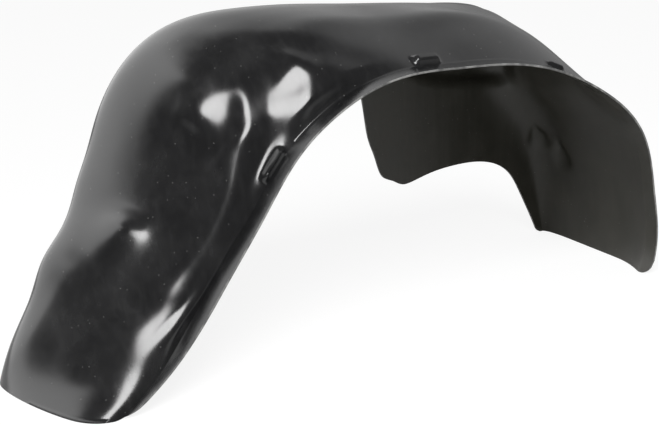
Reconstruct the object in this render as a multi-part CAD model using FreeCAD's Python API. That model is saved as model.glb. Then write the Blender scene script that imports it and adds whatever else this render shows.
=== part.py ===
import FreeCAD, Part
import math
import os

from FreeCAD import Vector

# Sizes are in millimetres. Angles are in degrees about the wheel's axis, which runs along Y:
# 0 is level with the axis on the rear foot's side (+X), 90 is the top, 180 the front foot's side.
SHEET = 2.5              # thickness of the formed sheet
ARCH_RADIUS = 345.0      # rim over the top of the wheel
DEPTH = 216.0            # lip's free edge to the inner wall, across the wheel
WALL_TOE = 0.02          # lean of the inner wall along the arch
LIP_WIDTH = 20.0         # flange along the rim
LIP_RISE = 1.0           # how far the flange slopes outwards over its width
FEET_ABOVE_AXIS = 28.0   # both feet stand this far above the wheel's axis
BEND_SOFTNESS = 0.4      # how early a bend starts, of its length
REAR_CORNER = 18.0       # rounded corners at the ends of the flange
FRONT_CORNER = 6.0

# Radii that change round the arch, each as a height over ARCH_RADIUS.
RIM = {180: 126, 175: 72, 171: 41, 164: 10, 152: -12, 138: -16, 125: -3, 114: 3, 104: 5, 94: 2, 84: 0,
       72: 9, 60: 23, 46: 41, 32: 53, 21: 39, 10: 27, 2: 6}
SHOULDER = {180: 144, 176: 111, 174: 90, 172: 75, 170: 65, 168: 58, 166: 51, 163: 40, 160: 30, 154: 19,
            148: 12, 142: 11, 136: 17, 131: 27, 128: 38, 125: 44, 122: 49, 117: 60, 111: 66, 105: 62,
            97: 48, 90: 39, 77: 49, 60: 59, 45: 59, 30: 57, 2: 28}
CROWN = {180: 126, 171: 124, 164: 115, 159: 110, 155: 92, 151: 78, 147: 74, 142: 75, 136: 93, 129: 112,
         120: 115, 108: 82, 97: 59, 85: 48, 72: 52, 60: 78, 50: 91, 40: 55, 30: 54, 18: 51, 2: 45}
WALL_EDGE = {180: 51, 160: 39, 140: 44, 120: 22, 100: -4, 90: -25, 84: -39, 80: -46, 76: -78, 72: -117,
             66: -140, 58: -162, 51: -159, 45: -150, 40: -121, 34: -81, 28: -40, 22: -11, 15: 3, 8: 17,
             2: 32}
LEDGE = {90: -27, 80: -30, 66: -29, 57: -25, 48: 0, 40: 36, 30: 55}

# Widths that change round the arch.
LIP_SHARE = {180: 0.1, 172: 0.5, 164: 0.9, 156: 1.0, 140: 1.0, 90: 1.0, 40: 1.0, 2: 1.0}
SHOULDER_INSET = {180: 3, 176: 3, 170: 4, 164: 3, 156: 2, 148: 4, 140: 8, 134: 13, 129: 20, 124: 29,
                  120: 37, 116: 45, 111: 51, 104: 52, 90: 52, 70: 53, 50: 53, 30: 42, 2: 33}
BELLY = {180: 21, 174: 16, 168: 8, 162: 5, 156: 5, 151: 7, 147: 8, 142: 9, 134: 11, 128: 12, 120: 10,
         110: 5, 100: 2, 60: 0, 2: 0}
DEPTH_CHANGE = {180: -8, 172: -13, 166: -15, 160: -13, 154: -2, 149: 13, 143: 26, 135: 34, 120: 28,
                105: 12, 90: 2, 75: 0, 40: 0, 2: 0}
SHOULDER_ROUND = {180: 30, 170: 48, 162: 40, 154: 26, 146: 17, 138: 13, 132: 14, 127: 24, 123: 36,
                  117: 54, 110: 56, 90: 50, 50: 43, 2: 33}
CROWN_ROUND = {180: 24, 174: 32, 168: 42, 156: 60, 148: 74, 140: 80, 132: 80, 124: 79, 112: 80, 90: 70,
               60: 55, 40: 60, 25: 70, 15: 68, 2: 60}

# Swellings of the front haunch: angle, distance across from the lip's root, height, then how far
# each spreads towards the top, towards the foot, towards the lip and towards the inner wall.
SWELLINGS = [(128.0, 122.0, 11.0, 45.0, 22.0, 30.0, 56.0),
             (109.5, 28.0, 11.5, 52.0, 52.0, 38.0, 38.0),
             (150.3, 120.0, 7.0, 22.0, 22.0, 20.0, 20.0)]
SWELLING_FADE = 20.0     # swellings fade out over this width at the lip's root

# The inner wall steps further in above its ledge, between these two angles.
LEDGE_STEP = 10.0
LEDGE_WIDTH = 18.0
LEDGE_FRONT = 84.0
LEDGE_REAR = 40.0
LEDGE_FADE = 6.0

# Clip bosses on the side wall: angle, lower and upper edge from the lip's root, length, height.
BOSSES = [(129.0, -1.0, 13.0, 46.0, 5.0), (89.5, -1.0, 17.0, 40.0, 6.0), (57.0, -1.0, 12.0, 34.0, 5.0)]
BOSS_RAMP = 5.0

# Fineness of the surface's net, round the arch and across it.
FRONT_ANGLE = 179.5
REAR_ANGLE = 2.2
STATIONS = 46
BODY_LINES = 22


def smooth_curve(table):
    """A natural cubic spline through the table's points."""
    xs = sorted(table)
    ys = [float(table[x]) for x in xs]
    last = len(xs) - 1
    gaps = [xs[i + 1] - xs[i] for i in range(last)]
    slopes = [(ys[i + 1] - ys[i]) / gaps[i] for i in range(last)]
    bends = [0.0] * (last + 1)
    ratio = [0.0] * (last + 1)
    part = [0.0] * (last + 1)
    for i in range(1, last):
        pivot = 2.0 * (gaps[i - 1] + gaps[i]) - gaps[i - 1] * ratio[i - 1]
        ratio[i] = gaps[i] / pivot
        part[i] = (6.0 * (slopes[i] - slopes[i - 1]) - gaps[i - 1] * part[i - 1]) / pivot
    for i in range(last - 1, 0, -1):
        bends[i] = part[i] - ratio[i] * bends[i + 1]

    def value(x):
        i = 0
        while i < last - 1 and x > xs[i + 1]:
            i += 1
        step = gaps[i]
        before = (xs[i + 1] - x) / step
        after = (x - xs[i]) / step
        sag = (before ** 3 - before) * bends[i] + (after ** 3 - after) * bends[i + 1]
        return before * ys[i] + after * ys[i + 1] + sag * step * step / 6.0

    return value


rim = smooth_curve(RIM)
shoulder = smooth_curve(SHOULDER)
crown = smooth_curve(CROWN)
wall_edge = smooth_curve(WALL_EDGE)
ledge = smooth_curve(LEDGE)
lip_share = smooth_curve(LIP_SHARE)
shoulder_inset = smooth_curve(SHOULDER_INSET)
belly = smooth_curve(BELLY)
depth_change = smooth_curve(DEPTH_CHANGE)
shoulder_round = smooth_curve(SHOULDER_ROUND)
crown_round = smooth_curve(CROWN_ROUND)


def smooth_step(value):
    share = min(max(value, 0.0), 1.0)
    return share * share * (3.0 - 2.0 * share)


def wall_point(angle, height):
    """A point of the inner wall as (Y, radius)."""
    radius = ARCH_RADIUS + height
    lean = WALL_TOE * radius * math.cos(math.radians(angle))
    return Vector(DEPTH + depth_change(angle) + lean, radius, 0)


def section_poles(angle):
    """Control points of the section at one angle as (Y, radius): side wall, band and inner bend."""
    width = LIP_WIDTH * lip_share(angle)
    root = Vector(width, ARCH_RADIUS + rim(angle) + LIP_RISE, 0)
    outer = Vector(width + shoulder_inset(angle), ARCH_RADIUS + shoulder(angle), 0)
    inner = wall_point(angle, crown(angle))
    end = wall_point(angle, wall_edge(angle))
    side = outer - root
    band = inner - outer
    wall = end - inner
    to_outer = side * min(shoulder_round(angle) / side.Length, 0.8)
    from_outer = min(shoulder_round(angle) / band.Length, 0.36)
    to_inner = min(crown_round(angle) / band.Length, 0.5)
    from_inner = wall * min(crown_round(angle) / wall.Length, 0.6)
    outwards = Vector(-band.y, band.x, 0).normalize() * belly(angle)
    shares = [from_outer * BEND_SOFTNESS, from_outer, (1.0 + from_outer - to_inner) / 2.0,
              1.0 - to_inner, 1.0 - to_inner * BEND_SOFTNESS]
    poles = [root, outer - to_outer, outer - to_outer * BEND_SOFTNESS]
    for share in shares:
        poles.append(outer + band * share + outwards * (4.0 * share * (1.0 - share)))
    poles.append(inner + from_inner * BEND_SOFTNESS)
    poles.append(inner + from_inner)
    return poles


def spline_knots(count, degree):
    """Evenly spaced knots and their multiplicities, clamped at both ends."""
    spans = count - degree
    return [float(i) for i in range(spans + 1)], [degree + 1] + [1] * (spans - 1) + [degree + 1]


def section_curve(angle):
    poles = section_poles(angle)
    knots, mults = spline_knots(len(poles), 3)
    curve = Part.BSplineCurve()
    curve.buildFromPolesMultsKnots(poles, mults, knots, False, 3)
    return curve


def place(angle, y, radius):
    turn = math.radians(angle)
    return Vector(radius * math.cos(turn), y, radius * math.sin(turn))


def swelling_height(angle, across, radius):
    total = 0.0
    for centre, middle, height, up, down, near, far in SWELLINGS:
        along = math.radians(angle - centre) * radius
        over = across - middle
        length = up if along < 0 else down
        width = near if over < 0 else far
        total += height * math.exp(-(along / length) ** 2 - (over / width) ** 2)
    return total * smooth_step(across / SWELLING_FADE)


def ledge_height(angle, radius):
    above = smooth_step((radius - ARCH_RADIUS - ledge(angle)) / LEDGE_WIDTH + 0.5)
    front = smooth_step((LEDGE_FRONT - angle) / LEDGE_FADE + 0.5)
    rear = smooth_step((angle - LEDGE_REAR) / LEDGE_FADE + 0.5)
    return LEDGE_STEP * above * front * rear


def wall_shares(angle, top, bottom):
    """Where the inner wall's lines lie from its top to its free edge: four of them follow the ledge."""
    half = min(LEDGE_WIDTH / 2.0 / (top - bottom), 0.2)
    middle = (top - ARCH_RADIUS - ledge(angle)) / (top - bottom)
    middle = min(max(middle, half + 0.03), 0.9 - half)
    return [middle - half, middle - half / 2.0, middle + half / 2.0, middle + half,
            (middle + half + 1.0) / 2.0, 1.0]


def section_row(angle):
    """Points across the liner at one angle: the flange's edge, the body and the inner wall."""
    curve = section_curve(angle)
    body = [curve.value(curve.LastParameter * j / BODY_LINES) for j in range(BODY_LINES + 1)]
    end = wall_point(angle, wall_edge(angle))
    start = body[-1]
    points = body + [start + (end - start) * share for share in wall_shares(angle, start.y, end.y)]
    row = [place(angle, 0.0, ARCH_RADIUS + rim(angle))]
    across = 0.0
    for j, point in enumerate(points):
        before = points[max(j - 1, 0)]
        after = points[min(j + 1, len(points) - 1)]
        across += point.distanceToPoint(before)
        tangent = (after - before).normalize()
        on_wall = smooth_step((point.x / (DEPTH + depth_change(angle)) - 0.9) / 0.08)
        height = swelling_height(angle, across, point.y) + on_wall * ledge_height(angle, point.y)
        raised = point + Vector(-tangent.y, tangent.x, 0) * height
        row.append(place(angle, raised.x, raised.y))
    return row


def inner_net(net):
    """The same net moved inwards by the sheet's thickness, square to the surface."""
    moved = []
    last = len(net[0]) - 1
    for i, row in enumerate(net):
        before = net[max(i - 1, 0)]
        after = net[min(i + 1, len(net) - 1)]
        new_row = []
        for j, point in enumerate(row):
            along = after[j] - before[j]
            sides = [along.cross(row[k + 1] - row[k]).normalize() for k in (j - 1, j) if 0 <= k < last]
            first = sides[0]
            second = sides[-1]
            new_row.append(point - (first + second) * (SHEET / (1.0 + first.dot(second))))
        moved.append(new_row)
    return moved


def strip(line, other):
    """A face between two lines of control points, smooth along them and straight across."""
    degree = min(3, len(line) - 1)
    knots, mults = spline_knots(len(line), degree)
    surface = Part.BSplineSurface()
    surface.buildFromPolesMultsKnots([line, other], [2, 2], mults, [0.0, 1.0], knots,
                                     False, False, 1, degree)
    return surface.toShape()


def shell_solid():
    """The formed sheet before its bosses are added and its feet are cut level."""
    step = (FRONT_ANGLE - REAR_ANGLE) / (STATIONS - 1)
    outer = [section_row(FRONT_ANGLE - step * i) for i in range(STATIONS)]
    inner = inner_net(outer)
    outer_lines = list(zip(*outer))
    inner_lines = list(zip(*inner))
    faces = [strip(outer_lines[j], inner_lines[j]) for j in (0, -1)]
    for j in range(len(outer_lines) - 1):
        faces.append(strip(outer_lines[j], outer_lines[j + 1]))
        faces.append(strip(inner_lines[j], inner_lines[j + 1]))
        for i in (0, -1):
            faces.append(strip(outer[i][j:j + 2], inner[i][j:j + 2]))
    shell = Part.Compound(faces)
    shell.sewShape()
    solid = Part.Solid(shell.Shells[0])
    if solid.Volume < 0:
        solid.reverse()
    return solid


def boss_solid(boss, sunk):
    """A flat-topped boss on the side wall, moved inwards by the given depth."""
    angle, low, high, length, height = boss
    curve = section_curve(angle)
    middle = curve.parameterAtDistance((low + high) / 2.0, curve.FirstParameter)
    point = curve.value(middle)
    tangent = curve.tangent(middle)[0]
    across = place(angle, tangent.x, tangent.y)
    outward = place(angle, -tangent.y, tangent.x)
    along = across.cross(outward)
    origin = place(angle, point.x, point.y) - outward * sunk
    wires = []
    for level, inset in ((-SHEET / 2.0, 0.0), (0.0, 0.0), (height, BOSS_RAMP)):
        far = along * (length / 2.0 - inset)
        wide = across * ((high - low) / 2.0 - inset)
        base = origin + outward * level
        corners = [base + far + wide, base + far - wide, base - far - wide, base - far + wide]
        wires.append(Part.makePolygon(corners + corners[:1]))
    return Part.makeLoft(wires, True, True)


def add_bosses(solid):
    """Bosses formed out of the sheet, so they are hollow from below."""
    for boss in BOSSES:
        solid = solid.fuse(boss_solid(boss, 0.0))
    for boss in BOSSES:
        solid = solid.cut(boss_solid(boss, SHEET))
    return solid


def corner_cutter(x_start, radius):
    """What is left of a square bar outside its rounded corner, at the end of the flange."""
    bar = Part.makeBox(DEPTH * 2, radius + 10, radius + 10, Vector(x_start, -10, FEET_ABOVE_AXIS - 10))
    centre = Vector(x_start - 1, radius, FEET_ABOVE_AXIS + radius)
    return bar.cut(Part.makeCylinder(radius, DEPTH * 2 + 2, centre, Vector(1, 0, 0)))


def cut_feet(solid):
    """Cuts both feet level and rounds the flange's two ends."""
    box = solid.BoundBox
    below = Part.makeBox(box.XLength + 20, box.YLength + 20, box.ZLength + FEET_ABOVE_AXIS,
                         Vector(box.XMin - 10, box.YMin - 10, -box.ZLength))
    solid = solid.cut(below)
    solid = solid.cut(corner_cutter(ARCH_RADIUS / 2.0, REAR_CORNER))
    return solid.cut(corner_cutter(-ARCH_RADIUS / 2.0 - DEPTH * 2, FRONT_CORNER))


def liner():
    solid = cut_feet(add_bosses(shell_solid()))
    box = solid.optimalBoundingBox(False, False)
    solid.translate(Vector(-box.Center.x, -box.Center.y, -FEET_ABOVE_AXIS))
    return solid


os.makedirs("parts", exist_ok=True)
arch_liner = liner()
arch_liner.exportStep("parts/arch_liner.step")
print("arch_liner", arch_liner.isValid(), len(arch_liner.Solids), arch_liner.optimalBoundingBox(False, False))
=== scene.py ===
import math
import bpy
import numpy as np
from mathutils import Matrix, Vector


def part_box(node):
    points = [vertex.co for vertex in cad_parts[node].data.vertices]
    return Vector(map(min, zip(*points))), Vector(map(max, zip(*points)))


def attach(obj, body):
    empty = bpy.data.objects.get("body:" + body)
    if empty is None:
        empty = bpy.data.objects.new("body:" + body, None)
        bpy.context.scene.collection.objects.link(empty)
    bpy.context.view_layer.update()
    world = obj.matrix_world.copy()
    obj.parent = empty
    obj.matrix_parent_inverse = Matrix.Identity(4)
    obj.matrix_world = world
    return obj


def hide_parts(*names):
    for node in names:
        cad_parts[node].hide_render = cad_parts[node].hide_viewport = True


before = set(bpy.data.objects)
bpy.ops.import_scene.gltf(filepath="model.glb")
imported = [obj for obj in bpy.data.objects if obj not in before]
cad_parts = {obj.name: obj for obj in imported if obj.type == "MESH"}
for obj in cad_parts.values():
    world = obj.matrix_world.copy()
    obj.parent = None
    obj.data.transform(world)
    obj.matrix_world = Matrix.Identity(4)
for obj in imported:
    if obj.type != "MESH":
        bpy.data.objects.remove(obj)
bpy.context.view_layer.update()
mm = 0.001
print("frame loaded")

# The formed sheet, in millimetres and degrees. Angles turn about the wheel's axis:
# 2 is the rear foot, 90 the top, 180 the front foot. Radii are from that axis.
sheetForm = {
    "thickness": 2.5,
    "toe": 0.02,            # the inner wall turns this much off square
    "lipRise": 1.0,
    "feetAboveAxis": 28.0,
    "softness": 0.4,        # how early a bend starts, of its length
    "frontCorner": 14.0,    # rounded corners at the ends of the lip
    "rearCorner": 18.0,
    "wallCorner": 7.0,      # rounded corner at the rear end of the inner wall
    "rim": {180: 471, 175: 417, 171: 386, 164: 355, 152: 333, 138: 329, 125: 342, 114: 348, 104: 350,
            94: 347, 84: 345, 72: 354, 60: 368, 46: 386, 32: 398, 21: 384, 10: 372, 2: 351},
    "lip": {180: 2, 172: 10, 164: 18, 156: 20, 140: 20, 90: 20, 40: 20, 2: 20},
    "inset": {180: 3, 176: 3, 170: 4, 164: 3, 156: 2, 148: 4, 140: 8, 134: 13, 129: 20, 124: 29,
              120: 37, 116: 45, 111: 51, 104: 52, 90: 52, 70: 53, 50: 53, 30: 42, 2: 33},
    "shoulder": {180: 489, 176: 456, 174: 435, 172: 420, 170: 410, 168: 403, 166: 396, 163: 385,
                 160: 375, 154: 364, 148: 357, 142: 356, 136: 362, 131: 372, 128: 383, 125: 389,
                 122: 394, 117: 405, 111: 411, 105: 407, 97: 393, 90: 384, 77: 394, 60: 404, 45: 404,
                 30: 402, 2: 373},
    "belly": {180: 21, 174: 16, 168: 8, 162: 5, 156: 5, 151: 7, 147: 8, 142: 9, 134: 11, 128: 12,
              120: 10, 110: 5, 100: 2, 60: 0, 2: 0},
    "crown": {180: 471, 171: 469, 164: 460, 159: 455, 155: 437, 151: 423, 147: 419, 142: 420, 136: 438,
              129: 457, 120: 460, 108: 427, 97: 404, 85: 393, 72: 397, 60: 423, 50: 436, 40: 400,
              30: 399, 18: 396, 2: 390},
    "shoulderRound": {180: 30, 170: 48, 162: 40, 154: 26, 146: 17, 138: 13, 132: 14, 127: 24, 123: 36,
                      117: 54, 110: 56, 90: 50, 50: 43, 2: 33},
    "crownRound": {180: 24, 174: 32, 168: 42, 156: 60, 148: 74, 140: 80, 132: 80, 124: 79, 112: 80,
                   90: 70, 60: 55, 40: 60, 25: 70, 15: 68, 2: 60},
    "depth": {180: 208, 172: 203, 166: 201, 160: 203, 154: 214, 149: 229, 143: 242, 135: 250, 120: 244,
              105: 228, 90: 218, 75: 216, 40: 216, 2: 216},
    "wallEdge": {180: 396, 160: 384, 140: 389, 120: 367, 100: 341, 90: 320, 84: 305, 80: 293, 76: 264,
                 72: 230, 66: 204, 58: 183, 51: 186, 45: 195, 40: 224, 34: 264, 28: 305, 22: 334,
                 15: 348, 8: 362, 2: 377},
}

# Lines of the mesh, round the arch and across the sheet
meshLines = {
    "along": 322,
    "lip": 9,
    "body": 100,
    "wall": 36,
    "rootStep": 0.45,       # spacing near the lip's root, of the usual spacing
    "rootReach": 26.0,
    "edgeRound": 0.35,      # how far the cut edge's corners are taken off
}

# Raised and sunken places: angle, distance across from the lip's root, sizes in millimetres
formedPlaces = {
    "clipBosses": [
        {"angle": 129.0, "low": -1.0, "high": 13.0, "length": 46.0, "height": 5.0},
        {"angle": 89.5, "low": -1.0, "high": 18.0, "length": 42.0, "height": 6.5},
        {"angle": 57.0, "low": -1.0, "high": 12.0, "length": 34.0, "height": 5.0},
    ],
    "bossRamp": 7.5,
    "mounds": [   # length and width spread up and outwards, drop and far down and inwards; turn in degrees
        {"angle": 127.8, "across": 140, "length": 56, "drop": 85, "width": 33, "far": 53,
         "turn": -1, "height": 8.3},
        {"angle": 112.7, "across": 35, "length": 30, "drop": 74, "width": 85, "far": 21,
         "turn": -45, "height": 9.1},
        {"angle": 123.8, "across": 43, "length": 22, "drop": 41, "width": 69, "far": 86,
         "turn": 55, "height": -9.3},
        {"angle": 151.1, "across": 118, "length": 19, "drop": 27, "width": 18, "far": 42, "height": 12.0},
        {"angle": 130.2, "across": 109, "length": 18, "drop": 33, "width": 18, "far": 14,
         "turn": -73, "height": 7.7},
        {"angle": 124.1, "across": 63, "length": 54, "drop": 18, "width": 29, "far": 28,
         "turn": 46, "height": 7.0},
        {"angle": 114.0, "across": 63, "length": 16, "drop": 50, "width": 18, "far": 27,
         "turn": -6, "height": 8.0},
        {"angle": 131.7, "across": 51, "length": 64, "drop": 42, "width": 20, "far": 14,
         "turn": 13, "height": 5.2},
        {"angle": 123.3, "across": 93, "length": 24, "drop": 39, "width": 18, "far": 45,
         "turn": 29, "height": 5.7},
        {"angle": 161.1, "across": 27, "length": 80, "drop": 32, "width": 12, "far": 80,
         "turn": 19, "height": -4.5},
        {"angle": 158.3, "across": 35, "length": 80, "drop": 27, "width": 26, "far": 61,
         "turn": -3, "height": -4.5},
        {"angle": 167.3, "across": 110, "length": 72, "drop": 27, "width": 36, "far": 80,
         "turn": 52, "height": 4.5},
        {"angle": 169.6, "across": 169, "length": 21, "drop": 40, "width": 80, "far": 80,
         "turn": -76, "height": 4.5},
        {"angle": 158.8, "across": 35, "length": 26, "drop": 25, "width": 80, "far": 47,
         "turn": 38, "height": 4.5},
    ],
    "moundFade": 20.0,      # mounds fade out over this width at the lip's root
    "dimples": [
        {"angle": 25.5, "across": 188.0, "length": 18.0, "width": 12.0},
        {"angle": 21.5, "across": 158.0, "length": 18.0, "width": 12.0},
    ],
    "dimpleDepth": 3.4,
    "ledge": {90: 318, 80: 315, 66: 316, 57: 320, 48: 345, 40: 381, 30: 400},
    "ledgeStep": 10.0,
    "ledgeWidth": 18.0,
    "ledgeFront": 84.0,
    "ledgeRear": 40.0,
    "ledgeFade": 6.0,
}


def curveThrough(table):   # natural cubic spline through the table's points
    spots = np.array(sorted(table), float)
    values = np.array([table[spot] for spot in sorted(table)], float)
    count = len(spots)
    gaps = np.diff(spots)
    matrix = np.eye(count)
    right = np.zeros(count)
    for i in range(1, count - 1):
        matrix[i, i - 1:i + 2] = gaps[i - 1], 2 * (gaps[i - 1] + gaps[i]), gaps[i]
        right[i] = 6 * ((values[i + 1] - values[i]) / gaps[i] - (values[i] - values[i - 1]) / gaps[i - 1])
    bends = np.linalg.solve(matrix, right)

    def value(where):
        i = np.clip(np.searchsorted(spots, where) - 1, 0, count - 2)
        before = (spots[i + 1] - where) / gaps[i]
        after = (where - spots[i]) / gaps[i]
        sag = (before ** 3 - before) * bends[i] + (after ** 3 - after) * bends[i + 1]
        return before * values[i] + after * values[i + 1] + sag * gaps[i] ** 2 / 6

    return value


def smoothStep(value):
    share = np.clip(value, 0, 1)
    return share * share * (3 - 2 * share)


def direction(vectors):
    length = np.linalg.norm(vectors, axis=-1, keepdims=True)
    return vectors / length, length


tableNames = ("rim", "lip", "inset", "shoulder", "belly", "crown", "shoulderRound", "crownRound",
              "depth", "wallEdge")
formCurves = {name: curveThrough(sheetForm[name]) for name in tableNames}
ledgeCurve = curveThrough(formedPlaces["ledge"])


def sectionPoles(angles):   # control points of the section at each angle, as (y, radius)
    at = {name: curve(angles) for name, curve in formCurves.items()}
    slant = sheetForm["toe"] * np.cos(np.radians(angles))
    edge = np.stack([0 * at["rim"], at["rim"]], -1)
    root = np.stack([at["lip"], at["rim"] + sheetForm["lipRise"]], -1)
    outer = np.stack([at["lip"] + at["inset"], at["shoulder"]], -1)
    inner = np.stack([at["depth"] + slant * at["crown"], at["crown"]], -1)
    end = np.stack([at["depth"] + slant * at["wallEdge"], at["wallEdge"]], -1)
    side, sideLength = direction(outer - root)
    band, bandLength = direction(inner - outer)
    wall, wallLength = direction(end - inner)
    shoulderRound = at["shoulderRound"][..., None]
    crownRound = at["crownRound"][..., None]
    toOuter = side * np.minimum(shoulderRound, 0.8 * sideLength)
    fromOuter = np.minimum(shoulderRound / bandLength, 0.36)
    toInner = np.minimum(crownRound / bandLength, 0.5)
    fromInner = wall * np.minimum(crownRound, 0.6 * wallLength)
    outwards = np.stack([-band[..., 1], band[..., 0]], -1) * at["belly"][..., None]
    soft = sheetForm["softness"]

    def onBand(share):   # the band bows outwards between its two bends
        return outer + (inner - outer) * share + outwards * 4 * share * (1 - share)

    bandShares = (fromOuter * soft, fromOuter, (1 + fromOuter - toInner) / 2, 1 - toInner,
                  1 - toInner * soft)
    poles = [root, outer - toOuter, outer - toOuter * soft] + [onBand(share) for share in bandShares]
    poles += [inner + fromInner * soft, inner + fromInner]
    return edge, np.stack(poles, -2), end


def splineWeights(count, shares):   # clamped cubic B-spline weights at each share of its length
    knots = np.concatenate([np.zeros(3), np.linspace(0, 1, count - 2), np.ones(3)])
    spots = np.clip(shares, 0, 1 - 1e-12)
    spans = range(len(knots) - 1)
    weights = np.array([(knots[i] <= spots) & (spots < knots[i + 1]) for i in spans], float).T
    for degree in (1, 2, 3):
        raised = np.zeros_like(weights)
        for i in range(len(knots) - 1 - degree):
            span = knots[i + degree] - knots[i]
            nextSpan = knots[i + degree + 1] - knots[i + 1]
            if span > 0:
                raised[:, i] += (spots - knots[i]) / span * weights[:, i]
            if nextSpan > 0:
                raised[:, i] += (knots[i + degree + 1] - spots) / nextSpan * weights[:, i + 1]
        weights = raised
    return weights[:, :count]


def sectionPoints(angles, shares):   # angles has one column for each line across the sheet
    lipShares, bodyShares, wallShares = shares
    edge, poles, end = sectionPoles(angles)
    first = len(lipShares)
    last = first + len(bodyShares)
    points = np.zeros(angles.shape + (2,))
    along = lipShares[None, :, None]
    points[:, :first] = edge[:, :first] * (1 - along) + poles[:, :first, 0] * along
    weights = splineWeights(poles.shape[-2], bodyShares)
    points[:, first:last] = np.einsum("vk,uvkc->uvc", weights, poles[:, first:last])
    along = wallShares[None, :, None]
    points[:, last:] = poles[:, last:, -1] * (1 - along) + end[:, last:] * along
    return points


def acrossShares():   # where the lines run across the sheet, closer together near the lip's root
    lipShares = np.linspace(0, 1, meshLines["lip"])[:-1]
    wallShares = np.linspace(0, 1, meshLines["wall"] + 1)[1:]
    fine = np.linspace(0, 1, 2001)
    edge, poles, end = sectionPoles(np.array([90.0]))
    curve = splineWeights(poles.shape[-2], fine) @ poles[0]
    reach = np.concatenate([[0], np.cumsum(np.linalg.norm(np.diff(curve, axis=0), axis=1))])
    near = np.exp(-(reach / meshLines["rootReach"]) ** 2)
    density = 1 + near * (1 / meshLines["rootStep"] - 1)
    count = np.concatenate([[0], np.cumsum((density[1:] + density[:-1]) / 2 * np.diff(reach))])
    bodyShares = np.interp(np.linspace(0, count[-1], meshLines["body"]), count, fine)
    return lipShares, bodyShares, wallShares


def distanceAcross(points, rootColumn):
    steps = np.linalg.norm(np.diff(points, axis=1), axis=-1)
    run = np.concatenate([np.zeros((len(points), 1)), np.cumsum(steps, axis=1)], axis=1)
    return run - run[:, rootColumn:rootColumn + 1]


def moundHeight(mound, angles, across, radius):
    alongIt = np.radians(angles - mound["angle"]) * radius
    overIt = across - mound["across"]
    turn = math.radians(mound.get("turn", 0))
    first = alongIt * math.cos(turn) + overIt * math.sin(turn)
    second = overIt * math.cos(turn) - alongIt * math.sin(turn)
    length = np.where(first < 0, mound["length"], mound.get("drop", mound["length"]))
    width = np.where(second < 0, mound["width"], mound.get("far", mound["width"]))
    fade = smoothStep(across / formedPlaces["moundFade"])
    return mound["height"] * np.exp(-(first / length) ** 2 - (second / width) ** 2) * fade


def bossHeight(boss, angles, across, radius):   # flat-topped clip boss standing on the lip's root
    ramp = formedPlaces["bossRamp"]
    alongIt = np.abs(np.radians(angles - boss["angle"]) * radius)
    ends = smoothStep((boss["length"] / 2 - alongIt) / ramp)
    sides = smoothStep((across - boss["low"]) / ramp) * smoothStep((boss["high"] - across) / ramp)
    return boss["height"] * ends * sides


def dimpleHeight(dimple, angles, across, radius):   # drop-shaped, blunt at its lower end
    alongIt = np.radians(angles - dimple["angle"]) * radius / dimple["length"]
    overIt = (across - dimple["across"]) / dimple["width"]
    width = 1.0 - 0.45 * np.clip(alongIt, -1, 1)
    spread = alongIt ** 2 + (overIt / width) ** 2
    return formedPlaces["dimpleDepth"] * np.exp(-spread ** 2)


def ledgeHeight(angles, radius, wallShare):   # the wall stands further in above its ledge
    above = smoothStep((radius - ledgeCurve(angles)) / formedPlaces["ledgeWidth"] + 0.5)
    fade = formedPlaces["ledgeFade"]
    within = smoothStep((formedPlaces["ledgeFront"] - angles) / fade + 0.5)
    within = within * smoothStep((angles - formedPlaces["ledgeRear"]) / fade + 0.5)
    return formedPlaces["ledgeStep"] * above * within * wallShare


def reliefHeight(angles, points, across):
    radius = points[..., 1]
    height = np.zeros_like(radius)
    for mound in formedPlaces["mounds"]:
        height += moundHeight(mound, angles, across, radius)
    for boss in formedPlaces["clipBosses"]:
        height += bossHeight(boss, angles, across, radius)
    for dimple in formedPlaces["dimples"]:
        height += dimpleHeight(dimple, angles, across, radius)
    depth = formCurves["depth"](angles)
    onWall = smoothStep((points[..., 0] / depth - 0.9) / 0.08)
    return height + ledgeHeight(angles, radius, onWall)


def footHeights(distance, corner):   # the cut end rises round its corners
    wallCorner = sheetForm["wallCorner"]
    inside = np.clip(corner - distance, 0, corner)
    atWall = np.clip(wallCorner - (distance[:, -1:] - distance), 0, wallCorner)
    rise = corner - np.sqrt(corner ** 2 - inside ** 2) + wallCorner - np.sqrt(wallCorner ** 2 - atWall ** 2)
    return sheetForm["feetAboveAxis"] + rise


def solveFeet(shares, rearSide):   # angle on each line where the sheet meets its cut end
    columns = sum(len(part) for part in shares)
    angles = np.full((1, columns), 4.0 if rearSide else 176.0)
    corner = sheetForm["rearCorner"] if rearSide else sheetForm["frontCorner"]
    heights = footHeights(distanceAcross(sectionPoints(angles, shares), 0), corner)
    for step in range(30):
        points = sectionPoints(angles, shares)
        turn = np.degrees(np.arcsin(heights / points[..., 1]))
        angles = angles * 0.4 + 0.6 * (turn if rearSide else 180 - turn)
    return angles


def alongShares():   # closer lines at the clip bosses
    fine = np.linspace(0, 1, 2001)
    angles = 176.0 - 172.0 * fine
    density = np.ones_like(fine)
    for boss in formedPlaces["clipBosses"]:
        density += 1.0 * np.exp(-((angles - boss["angle"]) / 5.0) ** 2)
    count = np.concatenate([[0], np.cumsum((density[1:] + density[:-1]) / 2)])
    return np.interp(np.linspace(0, count[-1], meshLines["along"]), count, fine)


def placeAround(angles, points):
    turn = np.radians(angles)
    return np.stack([points[..., 1] * np.cos(turn), points[..., 0], points[..., 1] * np.sin(turn)], -1)


def outwardNormals(points):
    normals = np.cross(np.gradient(points, axis=0), np.gradient(points, axis=1))
    return direction(normals)[0]


def settleEnds(points, levels):   # slides the end rows along the sheet to the level of the cut
    for row, inside, level in ((0, 1, levels[0]), (-1, -2, levels[1])):
        lean = points[row] - points[inside]
        share = (level - points[inside][:, 2]) / lean[:, 2]
        points[row] = points[inside] + lean * share[:, None]


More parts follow.
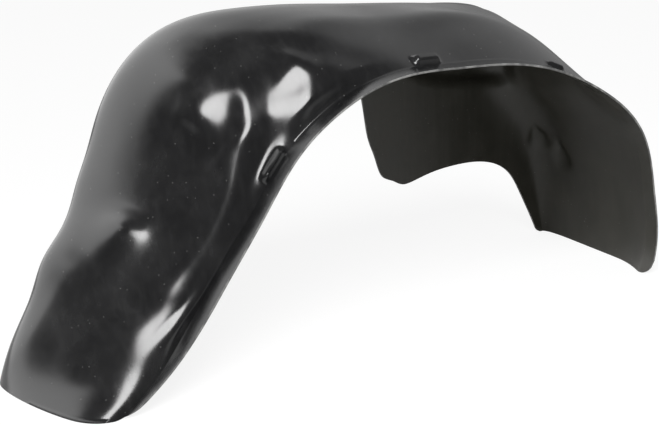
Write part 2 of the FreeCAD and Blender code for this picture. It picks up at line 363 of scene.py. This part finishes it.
def formSheet():
    shares = acrossShares()
    front = solveFeet(shares, False)
    rear = solveFeet(shares, True)
    angles = front + (rear - front) * alongShares()[:, None]
    section = sectionPoints(angles, shares)
    across = distanceAcross(section, len(shares[0]))
    outside = placeAround(angles, section)
    levels = outside[0, :, 2].copy(), outside[-1, :, 2].copy()
    outside = outside + outwardNormals(outside) * reliefHeight(angles, section, across)[..., None]
    settleEnds(outside, levels)
    inside = outside - outwardNormals(outside) * sheetForm["thickness"]
    settleEnds(inside, levels)
    return outside, inside


def edgeLines(outer, inner, outwards):   # the cut edge between two border lines, its corners taken off
    over = meshLines["edgeRound"]
    thick = direction(inner - outer)[0]
    return [outer + outwards * over + thick * over, inner + outwards * over - thick * over]


def buildLiner():
    outside, inside = formSheet()
    rows, columns = outside.shape[:2]
    vertices = [outside.reshape(-1, 3), inside.reshape(-1, 3)]
    count = rows * columns
    indexes = np.arange(count).reshape(rows, columns)
    quads = []

    def addSkin(grid, flip):
        faces = np.stack([grid[:-1, :-1], grid[:-1, 1:], grid[1:, 1:], grid[1:, :-1]], -1).reshape(-1, 4)
        quads.append(faces if flip else faces[:, ::-1])

    addSkin(indexes, False)
    addSkin(indexes + count, True)
    skinQuads = sum(len(part) for part in quads)
    used = 2 * count
    borders = [(np.s_[:, 0], np.s_[:, 1], True), (np.s_[:, -1], np.s_[:, -2], False),
               (np.s_[0, :], np.s_[1, :], False), (np.s_[-1, :], np.s_[-2, :], True)]
    for line, neighbour, flip in borders:
        outwards = direction(outside[line] - outside[neighbour])[0]
        extra = edgeLines(outside[line], inside[line], outwards)
        size = len(extra[0])
        numbers = [indexes[line], used + np.arange(size), used + size + np.arange(size),
                   indexes[line] + count]
        vertices += extra
        used += 2 * size
        addSkin(np.stack(numbers, 0), flip)
    points = np.concatenate(vertices)
    points[:, 2] = np.maximum(points[:, 2] - sheetForm["feetAboveAxis"], 0)
    middle = (points.min(0) + points.max(0)) / 2
    low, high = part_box("arch_liner")
    target = np.array((low + high) / 2) / mm
    shift = np.array([target[0] - middle[0], target[1] - middle[1], 0.0])
    faces = np.concatenate(quads)
    mesh = bpy.data.meshes.new("archLiner")
    mesh.from_pydata(((points + shift) * mm).tolist(), [], faces.tolist())
    mesh.validate()
    liner = bpy.data.objects.new("archLiner", mesh)
    bpy.context.scene.collection.objects.link(liner)
    mesh.shade_smooth()
    mesh.set_sharp_from_angle(angle=math.radians(55))
    slots = np.zeros(len(mesh.polygons), np.int32)
    slots[skinQuads // 2:skinQuads] = 2
    slots[skinQuads:] = 1
    mesh.polygons.foreach_set("material_index", slots)
    print("liner mesh:", len(mesh.polygons), "quads, shift", shift.round(2).tolist())
    return liner, shift


# Finishes
glossBlack = {
    "colour": (0.010, 0.010, 0.0105, 1.0),
    "roughness": 0.19,
    "roughnessChange": 0.06,
    "waveSize": 9.0,        # slow unevenness of the formed sheet, waves per metre
    "waveHeight": 0.0003,
    "rubColour": (0.019, 0.019, 0.0195, 1.0),
    "speckColour": (0.10, 0.10, 0.097, 1.0),
    "specular": 0.6,
}
satinInside = {
    "colour": (0.028, 0.0268, 0.0205, 1.0),
    "rubColour": (0.043, 0.041, 0.033, 1.0),
    "speckColour": (0.10, 0.10, 0.095, 1.0),
    "roughness": 0.32,
    "roughnessChange": 0.14,
    "specular": 0.5,
}
# Cut edge: its light grey, lighter still in rubbed patches, is partly the pale trimmed plastic and partly a
# painted highlight that stands in for the light the rounded edge catches
trimmedEdgeWithPaintedHighlight = {
    "colour": (0.10, 0.10, 0.098, 1.0),
    "rubColour": (0.32, 0.32, 0.31, 1.0),
    "roughness": 0.5,
}


def addNode(tree, kind, **values):
    node = tree.nodes.new(kind)
    for name, value in values.items():
        setattr(node, name, value)
    return node


def scuffGroup():   # rubbed patches, fine streaks and dust specks, used by all finishes
    group = bpy.data.node_groups.new("scuffs", "ShaderNodeTree")
    face = group.interface
    for name, value in (("Patch Scale", 14.0), ("Streak Scale", 150.0), ("Speck Scale", 240.0)):
        face.new_socket(name, in_out="INPUT", socket_type="NodeSocketFloat").default_value = value
    for name in ("Rub", "Specks"):
        face.new_socket(name, in_out="OUTPUT", socket_type="NodeSocketFloat")
    entry = addNode(group, "NodeGroupInput")
    leave = addNode(group, "NodeGroupOutput")
    spot = addNode(group, "ShaderNodeTexCoord")
    patches = addNode(group, "ShaderNodeTexNoise")
    patches.inputs["Detail"].default_value = 6.0
    patches.inputs["Roughness"].default_value = 0.6
    rub = addNode(group, "ShaderNodeMapRange")
    rub.inputs["From Min"].default_value = 0.42
    rub.inputs["From Max"].default_value = 0.72
    stretch = addNode(group, "ShaderNodeMapping")
    stretch.inputs["Scale"].default_value = (1.0, 0.5, 0.07)
    streaks = addNode(group, "ShaderNodeTexNoise")
    streaks.inputs["Detail"].default_value = 3.0
    fine = addNode(group, "ShaderNodeMapRange")
    fine.inputs["From Min"].default_value = 0.45
    fine.inputs["From Max"].default_value = 0.80
    worn = addNode(group, "ShaderNodeMath", operation="MULTIPLY_ADD", use_clamp=True)
    worn.inputs[1].default_value = 0.55
    cells = addNode(group, "ShaderNodeTexVoronoi")
    dot = addNode(group, "ShaderNodeMath", operation="LESS_THAN")
    dot.inputs[1].default_value = 0.16
    chosen = addNode(group, "ShaderNodeMath", operation="GREATER_THAN")
    chosen.inputs[1].default_value = 0.93
    pick = addNode(group, "ShaderNodeSeparateColor")
    both = addNode(group, "ShaderNodeMath", operation="MULTIPLY")
    link = group.links.new
    link(spot.outputs["Object"], patches.inputs["Vector"])
    link(entry.outputs["Patch Scale"], patches.inputs["Scale"])
    link(patches.outputs["Fac"], rub.inputs["Value"])
    link(spot.outputs["Object"], stretch.inputs["Vector"])
    link(stretch.outputs["Vector"], streaks.inputs["Vector"])
    link(entry.outputs["Streak Scale"], streaks.inputs["Scale"])
    link(streaks.outputs["Fac"], fine.inputs["Value"])
    link(fine.outputs["Result"], worn.inputs[0])
    link(rub.outputs["Result"], worn.inputs[2])
    link(worn.outputs["Value"], leave.inputs["Rub"])
    link(spot.outputs["Object"], cells.inputs["Vector"])
    link(entry.outputs["Speck Scale"], cells.inputs["Scale"])
    link(cells.outputs["Distance"], dot.inputs[0])
    link(cells.outputs["Color"], pick.inputs["Color"])
    link(pick.outputs["Red"], chosen.inputs[0])
    link(dot.outputs["Value"], both.inputs[0])
    link(chosen.outputs["Value"], both.inputs[1])
    link(both.outputs["Value"], leave.inputs["Specks"])
    return group


def startFinish(name, scuffs):
    material = bpy.data.materials.new(name)
    material.use_nodes = True
    tree = material.node_tree
    worn = addNode(tree, "ShaderNodeGroup", node_tree=scuffs)
    return material, tree, tree.nodes["Principled BSDF"], worn


def mixColours(tree, first, second, share):
    mix = addNode(tree, "ShaderNodeMix", data_type="RGBA")
    for name, colour in (("A", first), ("B", second)):
        if hasattr(colour, "links"):
            tree.links.new(colour, mix.inputs[name])
        else:
            mix.inputs[name].default_value = colour
    tree.links.new(share, mix.inputs["Factor"])
    return mix.outputs["Result"]


def wornSurface(tree, shader, worn, look):   # colour and roughness of a scuffed skin
    shader.inputs["Specular IOR Level"].default_value = look["specular"]
    colour = mixColours(tree, look["colour"], look["rubColour"], worn.outputs["Rub"])
    colour = mixColours(tree, colour, look["speckColour"], worn.outputs["Specks"])
    rough = addNode(tree, "ShaderNodeMapRange")
    rough.inputs["To Min"].default_value = look["roughness"]
    rough.inputs["To Max"].default_value = look["roughness"] + look["roughnessChange"]
    tree.links.new(colour, shader.inputs["Base Color"])
    tree.links.new(worn.outputs["Rub"], rough.inputs["Value"])
    tree.links.new(rough.outputs["Result"], shader.inputs["Roughness"])


def makeGlossBlack(scuffs):
    look = glossBlack
    material, tree, shader, worn = startFinish("glossBlack", scuffs)
    wornSurface(tree, shader, worn, look)
    spot = addNode(tree, "ShaderNodeTexCoord")
    waves = addNode(tree, "ShaderNodeTexNoise")
    waves.inputs["Scale"].default_value = look["waveSize"]
    waves.inputs["Detail"].default_value = 2.0
    swell = addNode(tree, "ShaderNodeBump")
    swell.inputs["Distance"].default_value = look["waveHeight"]
    link = tree.links.new
    link(spot.outputs["Object"], waves.inputs["Vector"])
    link(waves.outputs["Fac"], swell.inputs["Height"])
    link(swell.outputs["Normal"], shader.inputs["Normal"])
    return material


def makeTrimmedEdgeWithPaintedHighlight(scuffs):
    look = trimmedEdgeWithPaintedHighlight
    material, tree, shader, worn = startFinish("trimmedEdgeWithPaintedHighlight", scuffs)
    worn.inputs["Patch Scale"].default_value = 60.0
    shader.inputs["Roughness"].default_value = look["roughness"]
    # painted highlight in part: the cut edge's light grey stands in partly for light caught on the edge
    colour = mixColours(tree, look["colour"], look["rubColour"], worn.outputs["Rub"])
    tree.links.new(colour, shader.inputs["Base Color"])
    return material


def makeSatinInside(scuffs):
    material, tree, shader, worn = startFinish("satinInside", scuffs)
    wornSurface(tree, shader, worn, satinInside)
    return material


liner, linerShift = buildLiner()
scuffs = scuffGroup()
for finish in (makeGlossBlack(scuffs), makeTrimmedEdgeWithPaintedHighlight(scuffs), makeSatinInside(scuffs)):
    liner.data.materials.append(finish)
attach(liner, "root")
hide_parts("arch_liner")
print("finishes done")

# Floor, light and camera
studio = {
    "floorReach": 12.0,
    "floorGlow": 0.86,      # part of the floor's white that the object's shadow doesn't darken
    "floorShade": 0.20,
    "floorColour": 0.8,
    "lampWay": (-0.384, -0.548, 0.743),
    "lampDistance": 2.6,
    "lampSpread": 14.0,     # half angle of the soft box, in degrees
    "lampLevel": 15.0,
    "aimHeight": 0.18,
    "backLevel": 2.4,
    "frontLevel": 0.10,
    "fillLevel": 0.3,
    "paperTop": 57.0,       # height of the paper's upper edge, in degrees
    "paperLevels": [   # degrees from straight behind, brightness
        (-62, 0.0), (-54, 1.0), (0, 1.0), (24, 0.62), (36, 0.30), (46, 0.13), (56, 0.14), (68, 0.22),
        (88, 0.30), (105, 0.0),
    ],
}
photoCamera = {
    "place": (-1625.46, -1871.60, 901.25),   # from the wheel's axis and the floor, in millimetres
    "look": (0.59090, 0.75260, -0.29056),
    "focal": 2262.0,        # in pixels of the picture
    "pictureWidth": 659.0,
}


def makeFloor():
    reach = studio["floorReach"]
    corners = [(-reach, -reach, 0), (reach, -reach, 0), (reach, reach, 0), (-reach, reach, 0)]
    mesh = bpy.data.meshes.new("floor")
    mesh.from_pydata(corners, [], [(0, 1, 2, 3)])
    floor = bpy.data.objects.new("floor", mesh)
    bpy.context.scene.collection.objects.link(floor)
    material = bpy.data.materials.new("paleFloor")
    material.use_nodes = True
    tree = material.node_tree
    tree.nodes.clear()
    leave = addNode(tree, "ShaderNodeOutputMaterial")
    plain = addNode(tree, "ShaderNodeBsdfDiffuse")
    plain.inputs["Color"].default_value = (studio["floorColour"],) * 3 + (1.0,)
    shade = addNode(tree, "ShaderNodeBsdfDiffuse")
    shade.inputs["Color"].default_value = (studio["floorShade"],) * 3 + (1.0,)
    glow = addNode(tree, "ShaderNodeEmission")
    glow.inputs["Strength"].default_value = studio["floorGlow"]
    seen = addNode(tree, "ShaderNodeAddShader")
    rays = addNode(tree, "ShaderNodeLightPath")
    mix = addNode(tree, "ShaderNodeMixShader")
    link = tree.links.new
    link(shade.outputs[0], seen.inputs[0])
    link(glow.outputs[0], seen.inputs[1])
    link(rays.outputs["Is Camera Ray"], mix.inputs[0])
    link(plain.outputs[0], mix.inputs[1])
    link(seen.outputs[0], mix.inputs[2])
    link(mix.outputs[0], leave.inputs["Surface"])
    mesh.materials.append(material)


def makeBackdrop():   # white paper behind the object, brightest to the left, a dim room in front
    world = bpy.data.worlds.new("studio")
    bpy.context.scene.world = world
    world.use_nodes = True
    tree = world.node_tree
    tree.nodes.clear()
    leave = addNode(tree, "ShaderNodeOutputWorld")
    way = addNode(tree, "ShaderNodeTexCoord")
    split = addNode(tree, "ShaderNodeSeparateXYZ")
    heading = addNode(tree, "ShaderNodeMath", operation="ARCTAN2")
    share = addNode(tree, "ShaderNodeMapRange")
    share.inputs["From Min"].default_value = -math.pi
    share.inputs["From Max"].default_value = math.pi
    around = addNode(tree, "ShaderNodeValToRGB")
    stops = around.color_ramp.elements
    stops.remove(stops[1])
    for i, (turn, level) in enumerate(studio["paperLevels"]):
        stop = stops[0] if i == 0 else stops.new(0.5 + turn / 360)
        stop.position = 0.5 + turn / 360
        stop.color = (level, level, level, 1)
    top = addNode(tree, "ShaderNodeMapRange", interpolation_type="SMOOTHSTEP")
    top.inputs["From Min"].default_value = math.sin(math.radians(studio["paperTop"] + 4))
    top.inputs["From Max"].default_value = math.sin(math.radians(studio["paperTop"] - 4))
    paper = addNode(tree, "ShaderNodeMath", operation="MULTIPLY")
    level = addNode(tree, "ShaderNodeMapRange")
    level.inputs["To Min"].default_value = studio["frontLevel"]
    level.inputs["To Max"].default_value = studio["backLevel"]
    rays = addNode(tree, "ShaderNodeLightPath")
    shiny = addNode(tree, "ShaderNodeBackground")
    fill = addNode(tree, "ShaderNodeBackground")
    fill.inputs["Strength"].default_value = studio["fillLevel"]
    white = addNode(tree, "ShaderNodeBackground")
    glossMix = addNode(tree, "ShaderNodeMixShader")
    cameraMix = addNode(tree, "ShaderNodeMixShader")
    for plain in (shiny, fill, white):
        plain.inputs["Color"].default_value = (1, 1, 1, 1)
    link = tree.links.new
    link(way.outputs["Generated"], split.inputs[0])
    link(split.outputs["X"], heading.inputs[0])
    link(split.outputs["Y"], heading.inputs[1])
    link(heading.outputs["Value"], share.inputs["Value"])
    link(share.outputs["Result"], around.inputs["Fac"])
    link(split.outputs["Z"], top.inputs["Value"])
    link(around.outputs["Color"], paper.inputs[0])
    link(top.outputs["Result"], paper.inputs[1])
    link(paper.outputs["Value"], level.inputs["Value"])
    link(level.outputs["Result"], shiny.inputs["Strength"])
    link(rays.outputs["Is Glossy Ray"], glossMix.inputs[0])
    link(fill.outputs[0], glossMix.inputs[1])
    link(shiny.outputs[0], glossMix.inputs[2])
    link(rays.outputs["Is Camera Ray"], cameraMix.inputs[0])
    link(glossMix.outputs[0], cameraMix.inputs[1])
    link(white.outputs[0], cameraMix.inputs[2])
    link(cameraMix.outputs[0], leave.inputs["Surface"])


def makeLamp():
    way = Vector(studio["lampWay"]).normalized()
    radius = studio["lampDistance"] * math.tan(math.radians(studio["lampSpread"]))
    data = bpy.data.lights.new("softBox", "AREA")
    data.shape = "DISK"
    data.size = 2 * radius
    data.energy = studio["lampLevel"] * math.pi * math.pi * radius ** 2
    lamp = bpy.data.objects.new("softBox", data)
    lamp.location = way * studio["lampDistance"] + Vector((0, 0, studio["aimHeight"]))
    lamp.rotation_mode = "QUATERNION"
    lamp.rotation_quaternion = (-way).to_track_quat("-Z", "Y")
    bpy.context.scene.collection.objects.link(lamp)


def makeCamera():
    data = bpy.data.cameras.new("photoCamera")
    data.sensor_width = 36.0
    data.lens = photoCamera["focal"] / photoCamera["pictureWidth"] * data.sensor_width
    data.clip_end = 100.0
    camera = bpy.data.objects.new("photoCamera", data)
    camera.location = (Vector(photoCamera["place"]) + Vector(linerShift)) * mm
    camera.rotation_mode = "QUATERNION"
    camera.rotation_quaternion = Vector(photoCamera["look"]).to_track_quat("-Z", "Y")
    bpy.context.scene.collection.objects.link(camera)
    bpy.context.scene.camera = camera


makeFloor()
makeBackdrop()
makeLamp()
makeCamera()
bpy.context.scene.view_settings.view_transform = "Standard"
print("studio done")
